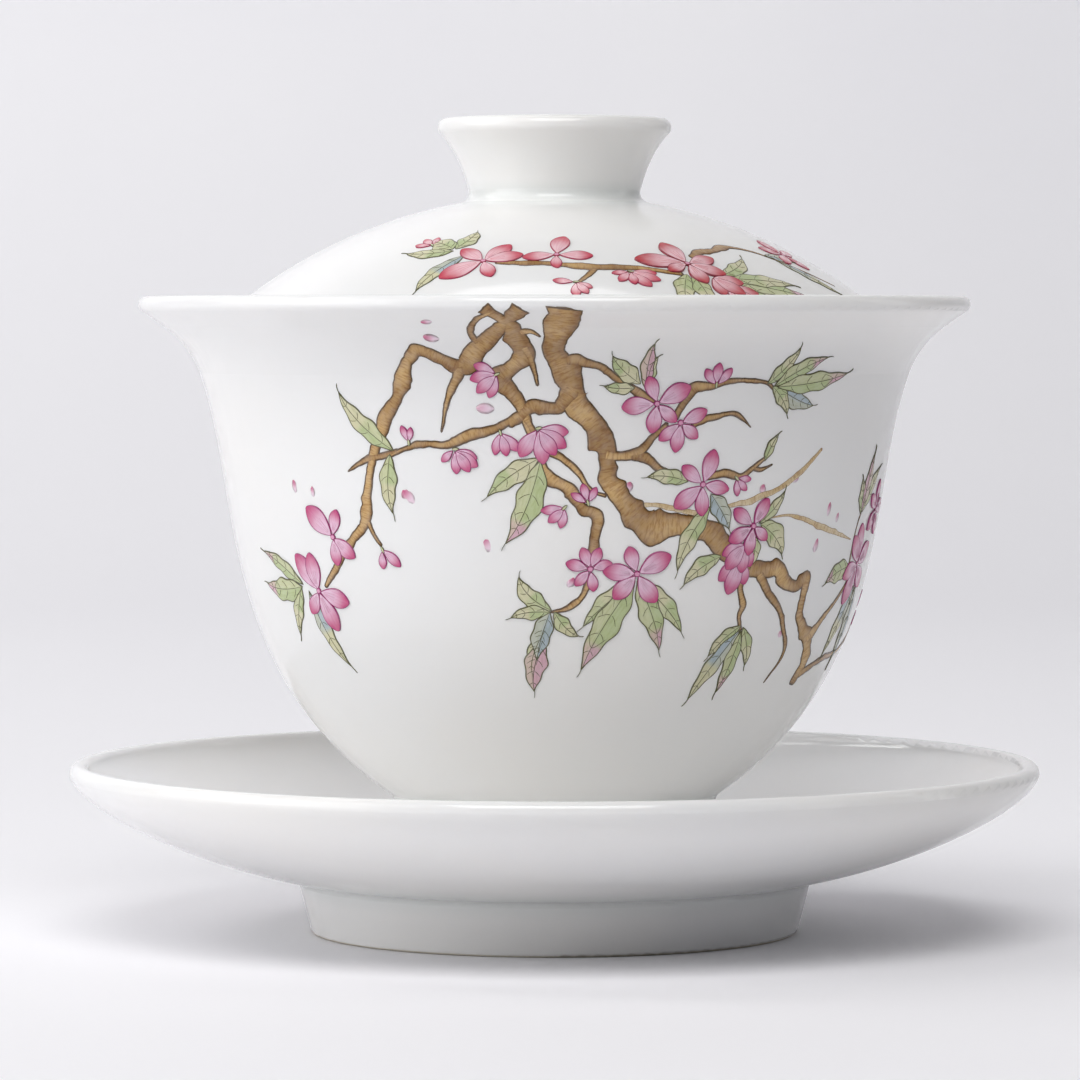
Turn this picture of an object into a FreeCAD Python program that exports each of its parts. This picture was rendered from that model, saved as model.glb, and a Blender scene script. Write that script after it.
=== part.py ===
import FreeCAD, Part
import math
import os
import types

import Sketcher

# A three piece covered tea bowl: a saucer, a bowl that stands in the saucer's well,
# and a lid that sits inside the bowl's flared lip. Every piece is turned about +Z.
# The origin is on the table under the middle of the saucer.

# Millimetres, except the slopes and leans in degrees and the shares, which are plain ratios.
SIZES = (
    # Saucer
    ("saucer_radius", 58.4),
    ("saucer_height", 20.6),
    ("saucer_rim_thickness", 2.2),
    ("saucer_rim_slope", 73.0),
    ("saucer_foot_radius", 29.3),
    ("saucer_foot_height", 6.5),
    ("saucer_foot_width", 3.0),
    ("saucer_foot_draft", 1.7),
    ("saucer_hollow_depth", 5.0),
    ("saucer_floor_thickness", 3.6),
    ("saucer_underside_slope", 9.5),
    ("saucer_underside_share", 0.435),
    ("saucer_upturn_share", 0.342),
    ("dish_floor_share", 0.5),
    ("dish_upturn_share", 0.25),
    ("well_depth", 1.0),
    ("well_clearance", 0.6),
    # Bowl
    ("bowl_radius", 50.0),
    ("bowl_height", 68.1),
    ("bowl_lip_thickness", 2.0),
    ("bowl_lip_slope", 35.0),
    ("bowl_lip_length", 3.3),
    ("bowl_flare_radius", 11.5),
    ("bowl_flare_lean", 20.0),
    ("bowl_foot_radius", 19.0),
    ("bowl_foot_height", 7.9),
    ("bowl_foot_width", 2.4),
    ("bowl_foot_draft", 0.5),
    ("bowl_hollow_depth", 4.5),
    ("bowl_floor_thickness", 3.2),
    ("bowl_wall", 2.6),
    ("belly_slope", 34.7),
    ("belly_swell_share", 0.94),
    ("wall_drop_share", 0.275),
    ("floor_turn_share", 0.8),
    ("floor_flat_share", 0.45),
    # Lid
    ("lid_seat_depth", 5.4),
    ("lid_seat_clearance", 0.05),
    ("lid_edge_height", 0.7),
    ("lid_dome_rise", 17.0),
    ("lid_wall", 2.2),
    ("knob_radius", 14.05),
    ("knob_neck_radius", 10.05),
    ("knob_height", 9.9),
    ("knob_rim_thickness", 2.2),
    ("knob_rim_slope", 46.0),
    ("knob_floor_thickness", 3.4),
    ("knob_neck_slope", 78.0),
    ("knob_neck_share", 0.47),
    ("knob_flare_share", 0.3),
    ("knob_hollow_share", 0.55),
    # Roundings
    ("foot_rounding", 0.6),
    ("foot_root_rounding", 1.0),
    ("well_rounding", 0.3),
    ("lid_edge_rounding", 0.5),
    ("knob_root_rounding", 1.2),
)

PLANE_NORMAL = FreeCAD.Vector(0, 0, 1)
CUBIC = 3
SKETCH_ORIGIN = (-1, 1)
SKETCH_LEVEL = -1
SKETCH_AXIS = -2
START_VERTEX, END_VERTEX, CENTRE_VERTEX = 1, 2, 3
# A curve's control points follow it in the sketch, as circles.
SECOND_POLE, THIRD_POLE = 2, 3
EDGE_TOLERANCE = 0.02


class Size:
    """A number together with the sheet expression that works it out."""

    def __init__(self, value, text):
        self.value = value
        self.text = text

    def __add__(self, other):
        other = as_size(other)
        return Size(self.value + other.value, f"({self.text} + {other.text})")

    def __sub__(self, other):
        other = as_size(other)
        return Size(self.value - other.value, f"({self.text} - {other.text})")

    def __mul__(self, other):
        other = as_size(other)
        return Size(self.value * other.value, f"({self.text} * {other.text})")

    def __truediv__(self, other):
        other = as_size(other)
        return Size(self.value / other.value, f"({self.text} / {other.text})")


def as_size(number):
    return number if isinstance(number, Size) else Size(float(number), repr(float(number)))


def sine(angle):
    return Size(math.sin(math.radians(angle.value)), f"sin({angle.text})")


def cosine(angle):
    return Size(math.cos(math.radians(angle.value)), f"cos({angle.text})")


def tangent(angle):
    return Size(math.tan(math.radians(angle.value)), f"tan({angle.text})")


def other_leg(hypotenuse, leg):
    """The third side of a right triangle."""
    square = hypotenuse * hypotenuse - leg * leg
    return Size(math.sqrt(square.value), f"sqrt({square.text})")


def make_sheet(doc):
    """Write the driving sizes into a spreadsheet and return them by name."""
    sheet = doc.addObject("Spreadsheet::Sheet", "Sizes")
    for row, (name, value) in enumerate(SIZES, start=1):
        sheet.set(f"A{row}", name)
        sheet.set(f"B{row}", str(value))
        sheet.setAlias(f"B{row}", name)
    doc.recompute()
    return types.SimpleNamespace(**{name: Size(value, f"Sizes.{name}") for name, value in SIZES})


class Outline:
    """A closed half section in a body's XZ plane, drawn counterclockwise and tied to the sheet.

    Points are (radius, height) pairs. A plain 0 puts a point on the turning axis or on the base.
    """

    def __init__(self, body, start):
        self.sketch = body.newObject("Sketcher::SketchObject", f"{body.Name}Outline")
        plane = next(item for item in body.Origin.OriginFeatures if item.Role == "XZ_Plane")
        self.sketch.AttachmentSupport = (plane, "")
        self.sketch.MapMode = "FlatFace"
        self.start = start
        self.here = start
        self.first = None
        self.last = None

    def pin_radius(self, geometry, vertex, point):
        """Hold one vertex at its distance from the turning axis."""
        self.pin("DistanceX", SKETCH_AXIS, geometry, vertex, point[0])

    def pin_height(self, geometry, vertex, point):
        """Hold one vertex at its height above the base."""
        self.pin("DistanceY", SKETCH_LEVEL, geometry, vertex, point[1])

    def pin_point(self, geometry, vertex, point):
        self.pin_radius(geometry, vertex, point)
        self.pin_height(geometry, vertex, point)

    def pin(self, kind, zero_line, geometry, vertex, size):
        """Tie one coordinate to the sheet, or lay the vertex on a sketch axis."""
        if size == 0:
            held = Sketcher.Constraint("PointOnObject", geometry, vertex, zero_line)
            self.sketch.addConstraint(held)
            return
        held = Sketcher.Constraint(kind, *SKETCH_ORIGIN, geometry, vertex, size.value)
        index = self.sketch.addConstraint(held)
        self.sketch.setExpression(f"Constraints[{index}]", size.text)

    def join(self, geometry, start_vertex, end_vertex, end):
        """Hang an edge on the one before it, and on the first when it ends there."""
        if self.last is None:
            self.first = (geometry, start_vertex)
        else:
            meeting = Sketcher.Constraint("Coincident", *self.last, geometry, start_vertex)
            self.sketch.addConstraint(meeting)
        self.last = (geometry, end_vertex)
        if end is self.start:
            self.sketch.addConstraint(Sketcher.Constraint("Coincident", *self.last, *self.first))
        self.here = end

    def line(self, end):
        """A straight edge from the last point."""
        segment = Part.LineSegment(vector(self.here), vector(end))
        geometry = self.sketch.addGeometry(segment)
        self.join(geometry, START_VERTEX, END_VERTEX, end)
        self.pin_point(geometry, END_VERTEX, end)

    def arc(self, end, centre, clockwise=False):
        """A round edge from the last point about a centre.

        The start and the centre settle its radius, so one coordinate is enough to hold its end.
        """
        spoke = vector(self.here) - vector(centre)
        end_spoke = vector(end) - vector(centre)
        angles = [math.atan2(spoke.y, spoke.x), math.atan2(end_spoke.y, end_spoke.x)]
        vertices = [START_VERTEX, END_VERTEX]
        if clockwise:
            angles.reverse()
            vertices.reverse()
        circle = Part.Circle(vector(centre), PLANE_NORMAL, spoke.Length)
        geometry = self.sketch.addGeometry(Part.ArcOfCircle(circle, *angles))
        self.join(geometry, *vertices, end)
        self.pin_point(geometry, CENTRE_VERTEX, centre)
        if abs(end_spoke.x) > abs(end_spoke.y):
            self.pin_height(geometry, vertices[1], end)
        else:
            self.pin_radius(geometry, vertices[1], end)

    def curve(self, leaving, arriving, end):
        """A smooth cubic edge that leaves towards one control point and arrives from another."""
        poles = [vector(point) for point in (self.here, leaving, arriving, end)]
        spline = Part.BSplineCurve()
        spline.buildFromPolesMultsKnots(poles, [CUBIC + 1, CUBIC + 1], [0.0, 1.0], False, CUBIC)
        geometry = self.sketch.addGeometry(spline)
        self.sketch.exposeInternalGeometry(geometry)
        self.join(geometry, START_VERTEX, END_VERTEX, end)
        self.pin_point(geometry, END_VERTEX, end)
        self.pin_point(geometry + SECOND_POLE, CENTRE_VERTEX, leaving)
        self.pin_point(geometry + THIRD_POLE, CENTRE_VERTEX, arriving)

    def close(self):
        """The last straight edge, back to where the outline began."""
        self.line(self.start)


def vector(point):
    radius, height = (as_size(number).value for number in point)
    return FreeCAD.Vector(radius, height, 0)


def step(point, distance, slope):
    """The point a distance away, up a slope that is measured from the horizontal."""
    radius, height = point
    return (radius + distance * cosine(slope), height + distance * sine(slope))


def across(point, distance, slope):
    """The point a distance away, square to a slope and outwards."""
    radius, height = point
    return (radius + distance * sine(slope), height - distance * cosine(slope))


def both_sides(point, distance, slope):
    """The points a distance away on either side, square to a slope."""
    return across(point, distance, slope), across(point, distance * -1, slope)


def make_body(doc, label):
    body = doc.addObject("PartDesign::Body", label.capitalize())
    body.Label = label
    return body


def turn(body, outline):
    """Revolve a finished outline once round the body's axis."""
    turned = body.newObject("PartDesign::Revolution", f"{body.Name}Turned")
    turned.Profile = outline.sketch
    turned.ReferenceAxis = (outline.sketch, ["V_Axis"])
    turned.Angle = 360.0
    body.Document.recompute()


def round_edges(body, name, radius, circles):
    """Fillet the edges of the last feature that lie on the given (radius, height) circles."""
    base = body.Tip
    names = []
    for wanted in circles:
        for index, edge in enumerate(base.Shape.Edges, start=1):
            if lies_on_circle(edge, vector(wanted)):
                names.append(f"Edge{index}")
    if len(names) != len(circles):
        raise ValueError(f"{body.Label}: {name} found {len(names)} edges of {len(circles)}")
    fillet = body.newObject("PartDesign::Fillet", f"{body.Name}{name}")
    fillet.Base = (base, names)
    fillet.setExpression("Radius", radius.text)
    body.Document.recompute()


def lies_on_circle(edge, wanted):
    if edge.Degenerated or not isinstance(edge.Curve, Part.Circle):
        return False
    return (
        abs(edge.Curve.Radius - wanted.x) < EDGE_TOLERANCE
        and abs(edge.Curve.Center.z - wanted.y) < EDGE_TOLERANCE
    )


class Foot:
    """The section of a foot ring that spreads by its draft as it rises, hollow underneath."""

    def __init__(self, radius, width, draft, height, hollow_depth):
        self.inner = (radius - width, 0)
        self.outer = (radius, 0)
        self.root = (radius + draft, height)
        self.ceiling = (radius - width - draft, hollow_depth)

    def round_off(self, body, dims):
        round_edges(body, "FootRounding", dims.foot_rounding, (self.inner, self.outer))
        round_edges(body, "RootRounding", dims.foot_root_rounding, (self.root, self.ceiling))


def well_level(dims):
    """Height of the saucer's well floor, on which the bowl stands."""
    return dims.saucer_hollow_depth + dims.saucer_floor_thickness


def make_saucer(doc, dims):
    """A shallow dish on a foot ring, with a well that takes the bowl's foot."""
    body = make_body(doc, "saucer")
    foot = Foot(
        dims.saucer_foot_radius,
        dims.saucer_foot_width,
        dims.saucer_foot_draft,
        dims.saucer_foot_height,
        dims.saucer_hollow_depth,
    )
    nose_radius = dims.saucer_rim_thickness / 2
    nose = (dims.saucer_radius - nose_radius, dims.saucer_height - nose_radius)
    rim_outer, rim_inner = both_sides(nose, nose_radius, dims.saucer_rim_slope)

    reach = (rim_outer[0] - foot.root[0]) * dims.saucer_underside_share
    leaving_foot = (foot.root[0] + reach, foot.root[1] + reach * tangent(dims.saucer_underside_slope))
    upturn = (rim_outer[1] - foot.root[1]) * dims.saucer_upturn_share
    below_rim = step(rim_outer, upturn * -1, dims.saucer_rim_slope)

    well_radius = dims.bowl_foot_radius + dims.well_clearance
    dish_level = well_level(dims) + dims.well_depth
    well_edge = (well_radius, dish_level)
    dish_upturn = (rim_inner[1] - dish_level) * dims.dish_upturn_share
    inside_rim = step(rim_inner, dish_upturn * -1, dims.saucer_rim_slope)
    dish_flat = (well_radius + (rim_inner[0] - well_radius) * dims.dish_floor_share, dish_level)

    outline = Outline(body, foot.inner)
    outline.line(foot.outer)
    outline.line(foot.root)
    outline.curve(leaving_foot, below_rim, rim_outer)
    outline.arc(rim_inner, nose)
    outline.curve(inside_rim, dish_flat, well_edge)
    outline.line((well_radius, well_level(dims)))
    outline.line((0, well_level(dims)))
    outline.line((0, dims.saucer_hollow_depth))
    outline.line(foot.ceiling)
    outline.close()
    turn(body, outline)
    foot.round_off(body, dims)
    round_edges(body, "WellRounding", dims.well_rounding, (well_edge,))
    return body


class Lip:
    """The bowl's rounded edge, the straight lip below it and the flare that carries them.

    The flare's two faces are arcs about one centre outside the bowl.
    """

    def __init__(self, dims):
        slope = dims.bowl_lip_slope
        half = dims.bowl_lip_thickness / 2
        self.nose = (dims.bowl_radius - half, dims.bowl_height - half)
        self.outer, self.inner = both_sides(self.nose, half, slope)
        root = step(self.nose, dims.bowl_lip_length * -1, slope)
        self.root_outer, self.root_inner = both_sides(root, half, slope)
        self.centre = across(root, dims.bowl_flare_radius + half, slope)
        self.inner_flare_radius = dims.bowl_flare_radius + dims.bowl_lip_thickness
        self.lean = dims.bowl_flare_lean
        self.flare_outer = self.flare_foot(dims.bowl_flare_radius)
        self.flare_inner = self.flare_foot(self.inner_flare_radius)

    def flare_foot(self, radius):
        """Where one face of the flare meets the wall, which leans out by the flare's lean."""
        radius_out = self.centre[0] - radius * cosine(self.lean)
        return radius_out, self.centre[1] + radius * sine(self.lean)

    def down_the_wall(self, point, drop):
        """The point below one foot of the flare, in line with the wall there."""
        return point[0] - drop * tangent(self.lean), point[1] - drop

    def seat(self, depth, rim_height):
        """Radius and height of the ring of inner flare that lies a depth below the rim."""
        height = rim_height - depth
        return self.centre[0] - other_leg(self.inner_flare_radius, height - self.centre[1]), height


def make_bowl(doc, dims):
    """A deep bowl on a foot ring, with a wall that turns out into a flared, rounded lip."""
    body = make_body(doc, "bowl")
    foot = Foot(
        dims.bowl_foot_radius,
        dims.bowl_foot_width,
        dims.bowl_foot_draft,
        dims.bowl_foot_height,
        dims.bowl_hollow_depth,
    )
    lip = Lip(dims)
    swell = (lip.flare_outer[0] - foot.root[0]) * dims.belly_swell_share
    belly = (foot.root[0] + swell, foot.root[1] + swell * tangent(dims.belly_slope))
    drop = (lip.flare_outer[1] - foot.root[1]) * dims.wall_drop_share

    # The inner wall follows the outer one. It is set in square to it at the foot's root, and at
    # the belly, where the wall turns from the belly's slope to nearly upright.
    half_turn = (as_size(90) + dims.bowl_flare_lean / 2 - dims.belly_slope) / 2
    set_in = dims.bowl_wall / cosine(half_turn)
    belly_inner = across(belly, set_in * -1, dims.belly_slope + half_turn)
    root_inner = across(foot.root, dims.bowl_wall * -1, dims.belly_slope)
    floor_level = dims.bowl_hollow_depth + dims.bowl_floor_thickness
    floor_drop = (root_inner[1] - floor_level) * dims.floor_turn_share
    floor_turn = step(root_inner, floor_drop / sine(dims.belly_slope) * -1, dims.belly_slope)
    floor_flat = (root_inner[0] * dims.floor_flat_share, floor_level)

    outline = Outline(body, foot.inner)
    outline.line(foot.outer)
    outline.line(foot.root)
    outline.curve(belly, lip.down_the_wall(lip.flare_outer, drop), lip.flare_outer)
    outline.arc(lip.root_outer, lip.centre, clockwise=True)
    outline.line(lip.outer)
    outline.arc(lip.inner, lip.nose)
    outline.line(lip.root_inner)
    outline.arc(lip.flare_inner, lip.centre)
    outline.curve(lip.down_the_wall(lip.flare_inner, drop), belly_inner, root_inner)
    outline.curve(floor_turn, floor_flat, (0, floor_level))
    outline.line((0, dims.bowl_hollow_depth))
    outline.line(foot.ceiling)
    outline.close()
    turn(body, outline)
    foot.round_off(body, dims)
    body.setExpression("Placement.Base.z", well_level(dims).text)
    return body


def make_lid(doc, dims):
    """A domed lid whose edge drops into the flared lip, with a hollow, flared knob."""
    body = make_body(doc, "lid")
    seat_radius, seat_height = Lip(dims).seat(dims.lid_seat_depth, dims.bowl_height)
    edge_radius = seat_radius - dims.lid_seat_clearance
    rise = dims.lid_dome_rise
    dome_radius = (edge_radius * edge_radius + rise * rise) / (rise * 2)
    inner_radius = dome_radius - dims.lid_wall
    centre_level = dims.lid_edge_height + rise - dome_radius
    centre = (0, centre_level)
    edge_inner = (other_leg(inner_radius, centre_level), 0)
    edge_outer = (edge_radius, 0)

    neck = (dims.knob_neck_radius, centre_level + other_leg(dome_radius, dims.knob_neck_radius))
    nose_radius = dims.knob_rim_thickness / 2
    nose = (dims.knob_radius - nose_radius, neck[1] + dims.knob_height - nose_radius)
    knob_outer = across(nose, nose_radius, dims.knob_rim_slope)
    knob_inner = (nose[0] - nose_radius, nose[1])
    flare_rise = knob_outer[1] - neck[1]
    above_neck = step(neck, flare_rise * dims.knob_neck_share, dims.knob_neck_slope)
    below_rim = step(knob_outer, flare_rise * dims.knob_flare_share * -1, dims.knob_rim_slope)
    hollow_level = centre_level + inner_radius + dims.knob_floor_thickness
    hollow_corner = (knob_inner[0] - nose_radius, hollow_level)
    hollow_flat = (knob_inner[0] * dims.knob_hollow_share, hollow_level)

    outline = Outline(body, edge_inner)
    outline.line(edge_outer)
    outline.line((edge_radius, dims.lid_edge_height))
    outline.arc(neck, centre)
    outline.curve(above_neck, below_rim, knob_outer)
    outline.arc(knob_inner, nose)
    outline.curve(hollow_corner, hollow_flat, (0, hollow_level))
    outline.line((0, centre_level + inner_radius))
    outline.arc(edge_inner, centre, clockwise=True)
    turn(body, outline)
    round_edges(body, "EdgeRounding", dims.lid_edge_rounding, (edge_inner, edge_outer))
    round_edges(body, "KnobRounding", dims.knob_root_rounding, (neck,))
    body.setExpression("Placement.Base.z", (well_level(dims) + seat_height).text)
    return body


def check(doc, bodies):
    """Stop before anything is written if a feature failed or a solid is not sound."""
    for item in doc.Objects:
        if "Invalid" in item.State or "Error" in item.State:
            raise ValueError(f"{item.Label} did not recompute: {item.State}")
    for body in bodies:
        if body.Shape.isNull() or not body.Shape.isValid() or len(body.Shape.Solids) != 1:
            raise ValueError(f"{body.Label} is not one valid solid")


def main():
    doc = FreeCAD.newDocument("CoveredTeaBowl")
    dims = make_sheet(doc)
    bodies = [make_saucer(doc, dims), make_bowl(doc, dims), make_lid(doc, dims)]
    doc.recompute()
    check(doc, bodies)
    os.makedirs("parts", exist_ok=True)
    for body in bodies:
        body.Shape.exportStep(f"parts/{body.Label}.step")
        box = body.Shape.BoundBox
        print(f"{body.Label}: across {box.XLength:.2f}, from {box.ZMin:.2f} to {box.ZMax:.2f}")


main()
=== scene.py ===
"""Looks of a porcelain gaiwan: glaze on the three CAD nodes, and a flowering branch painted in raised enamel.

The painting is laid out on each wall as if it were unrolled. A place on it is (around, level): degrees round the
axis from the front, to the right, and a level on the wall in millimetres, which is the height above the table on
the bowl and the distance from the axis on the lid. Everything painted is a thin closed shell, sunk a little into
the glaze at its edge, and its colours are stored on its vertices. Lengths are in millimetres up to the point where
a vertex or a node gets them, in metres.
"""
import contextlib
import math
import random

import bmesh
import bpy
import numpy as np
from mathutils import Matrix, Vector


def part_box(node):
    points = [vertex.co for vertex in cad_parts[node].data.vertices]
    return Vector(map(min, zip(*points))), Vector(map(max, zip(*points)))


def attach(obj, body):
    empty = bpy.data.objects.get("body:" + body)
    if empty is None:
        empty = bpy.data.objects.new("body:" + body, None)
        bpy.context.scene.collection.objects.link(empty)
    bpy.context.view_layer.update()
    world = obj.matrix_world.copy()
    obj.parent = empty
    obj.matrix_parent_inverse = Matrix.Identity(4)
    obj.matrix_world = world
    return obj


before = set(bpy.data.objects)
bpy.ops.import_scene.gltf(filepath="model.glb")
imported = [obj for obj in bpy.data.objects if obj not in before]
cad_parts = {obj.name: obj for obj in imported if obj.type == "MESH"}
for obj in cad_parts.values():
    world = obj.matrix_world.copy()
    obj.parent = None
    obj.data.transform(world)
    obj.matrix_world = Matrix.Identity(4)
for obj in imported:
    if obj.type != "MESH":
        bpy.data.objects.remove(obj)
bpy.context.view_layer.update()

MM = 0.001
rng = random.Random(11)

# how shells lie on the glaze, in mm
SUNK = -0.025                           # height of a shell's edge, under the glaze
EDGE = 0.035                            # width in which a shell rises from its edge to its full height
LIMB_LIFT = (0.03, 0.044)               # height of a limb's dark outline, and of the bark on it
LIMB_STEP = (0.0002, 0.0003)            # what each next limb adds to those two
GOLD_LIFT = (0.014, 0.022)              # the two heights of a golden twig, which passes under the limbs
LEAF_LIFT, LEAF_STEP = 0.068, 0.005     # the first leaf of a spray, and what each next one adds
PETAL_LIFT, PETAL_STEP = 0.105, 0.008   # the first petal of a flower, and what each next one adds
FLOWER_STEP = 0.04                      # from a flower to one that lies over it
FALLEN_LIFT, FALLEN_SUNK = 0.011, -0.003    # a loose petal, which is a thin wash, and its edge


# ---------------------------------------------------------------- colours

def rgb(red, green, blue):
    """A colour seen on the glaze, 0 to 255, as linear light."""
    def linear(v):
        v /= 255
        return v / 12.92 if v <= 0.04045 else ((v + 0.055) / 1.055) ** 2.4
    return np.array([linear(red), linear(green), linear(blue)])


GLAZE = rgb(239, 239, 238)
BARK = rgb(208, 172, 114)
BARK_DARK = rgb(144, 106, 60)
BARK_LINE = rgb(92, 68, 40)
GOLD = rgb(200, 170, 116)
GOLD_PALE = rgb(222, 206, 172)
LEAF = rgb(184, 196, 146)
LEAF_PALE = rgb(212, 208, 172)
LEAF_GREY = rgb(172, 186, 194)
LEAF_PINK = rgb(212, 170, 184)
LEAF_LINE = rgb(88, 86, 50)
PETAL_PALE = rgb(232, 196, 218)
PETAL = rgb(190, 46, 112)
PETAL_LINE = rgb(152, 44, 108)
LID_PETAL = rgb(198, 44, 72)
LID_PALE = rgb(242, 204, 210)
LID_LINE = rgb(160, 40, 74)
RED_PETAL = rgb(186, 34, 44)
RED_LINE = rgb(138, 24, 48)
CENTRE = rgb(214, 130, 172)
FLOWER_TONES = {            # pale, deep and outline
    "bowl": (PETAL_PALE, PETAL, PETAL_LINE), "lid": (LID_PALE, LID_PETAL, LID_LINE),
    "red": (LID_PALE, RED_PETAL, RED_LINE),
}
LEAF_TONES = {              # at the foot and at the tip
    "green": (LEAF, LEAF_PALE), "pale": (LEAF_PALE, LEAF), "grey": (LEAF_GREY, LEAF_PALE),
    "tipped": (LEAF, LEAF_PINK), "pink": (LEAF_PINK, LEAF_PINK), "blue": (LEAF_GREY, LEAF_GREY),
}


def mix(a, b, share):
    """Colours between a and b, with one more axis than share has."""
    share = np.asarray(share, float)[..., None]
    return a * (1 - share) + b * share


def smooth(low, high, value):
    """0 below low, 1 above high, and an S curve between them."""
    t = np.clip((np.asarray(value, float) - low) / (high - low), 0, 1)
    return t * t * (3 - 2 * t)


# ---------------------------------------------------------------- the walls that are painted

class Wall:
    """The painted side of a CAD node, unrolled: a turn round the axis, and a length s up the profile."""

    def __init__(self, radii, heights, level):
        self.r, self.z = np.array(radii) / MM, np.array(heights) / MM
        steps = np.hypot(np.diff(self.r), np.diff(self.z))
        self.s = np.concatenate(([0.0], np.cumsum(steps)))
        values = self.z if level == "height" else self.r
        order = np.argsort(values)
        self.levels = values[order], self.s[order]
        reach = 4           # the facing of the profile is averaged over so many places on either side
        box = np.ones(2 * reach + 1) / (2 * reach + 1)
        across, up = (np.convolve(np.pad(np.gradient(v, self.s), reach, mode="edge"), box, "valid")
                      for v in (self.r, self.z))
        size = np.hypot(across, up)
        self.out, self.rise = up / size, -across / size

    def radius(self, s):
        return np.interp(s, self.s, self.r)

    def length(self, turn, s):
        """Distances on the wall from the first of some places to each of them."""
        r = self.radius(s)
        return np.concatenate(([0.0], np.cumsum(np.hypot(np.diff(turn) * (r[1:] + r[:-1]) / 2, np.diff(s)))))

    def unroll(self, around, level):
        """Flat coordinates of a place."""
        return np.radians(around), np.interp(level, *self.levels)

    def place(self, turn, s, lift):
        """The point at turn and s, lifted off the glaze, in metres."""
        r = np.interp(s, self.s, self.r) + lift * np.interp(s, self.s, self.out)
        z = np.interp(s, self.s, self.z) + lift * np.interp(s, self.s, self.rise)
        return np.stack((r * np.sin(turn), -r * np.cos(turn), z), -1) * MM


FAR = 0.3                   # m, well outside the object
ASIDE = 1e-6                # m, so that no ray runs along an edge of the mesh


def seen_wall(node, starts, way, level):
    """The part of a wall that rays meet when they look from starts along way."""
    found = [node.ray_cast(Vector(start), Vector(way)) for start in starts]
    places = [place for hit, place, _, _ in found if hit]
    return Wall([p.x for p in places], [p.z for p in places], level)


def outside_wall(node, low, high, steps=260):
    """The outside of a wall, found by looking at it level from the side."""
    starts = [(FAR, ASIDE, low + (high - low) * i / steps) for i in range(steps + 1)]
    return seen_wall(node, starts, (-1, 0, 0), "height")


def top_wall(node, wide, narrow, steps=200):
    """The top of a dome, found by looking down on it, from its edge to its knob."""
    starts = [(wide + (narrow - wide) * i / steps, ASIDE, FAR) for i in range(steps + 1)]
    return seen_wall(node, starts, (0, 0, -1), "radius")


# ---------------------------------------------------------------- enamel shells

TINY = 1e-6                 # mm
MERGE = 2e-7                # m, points closer than this become one


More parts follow.
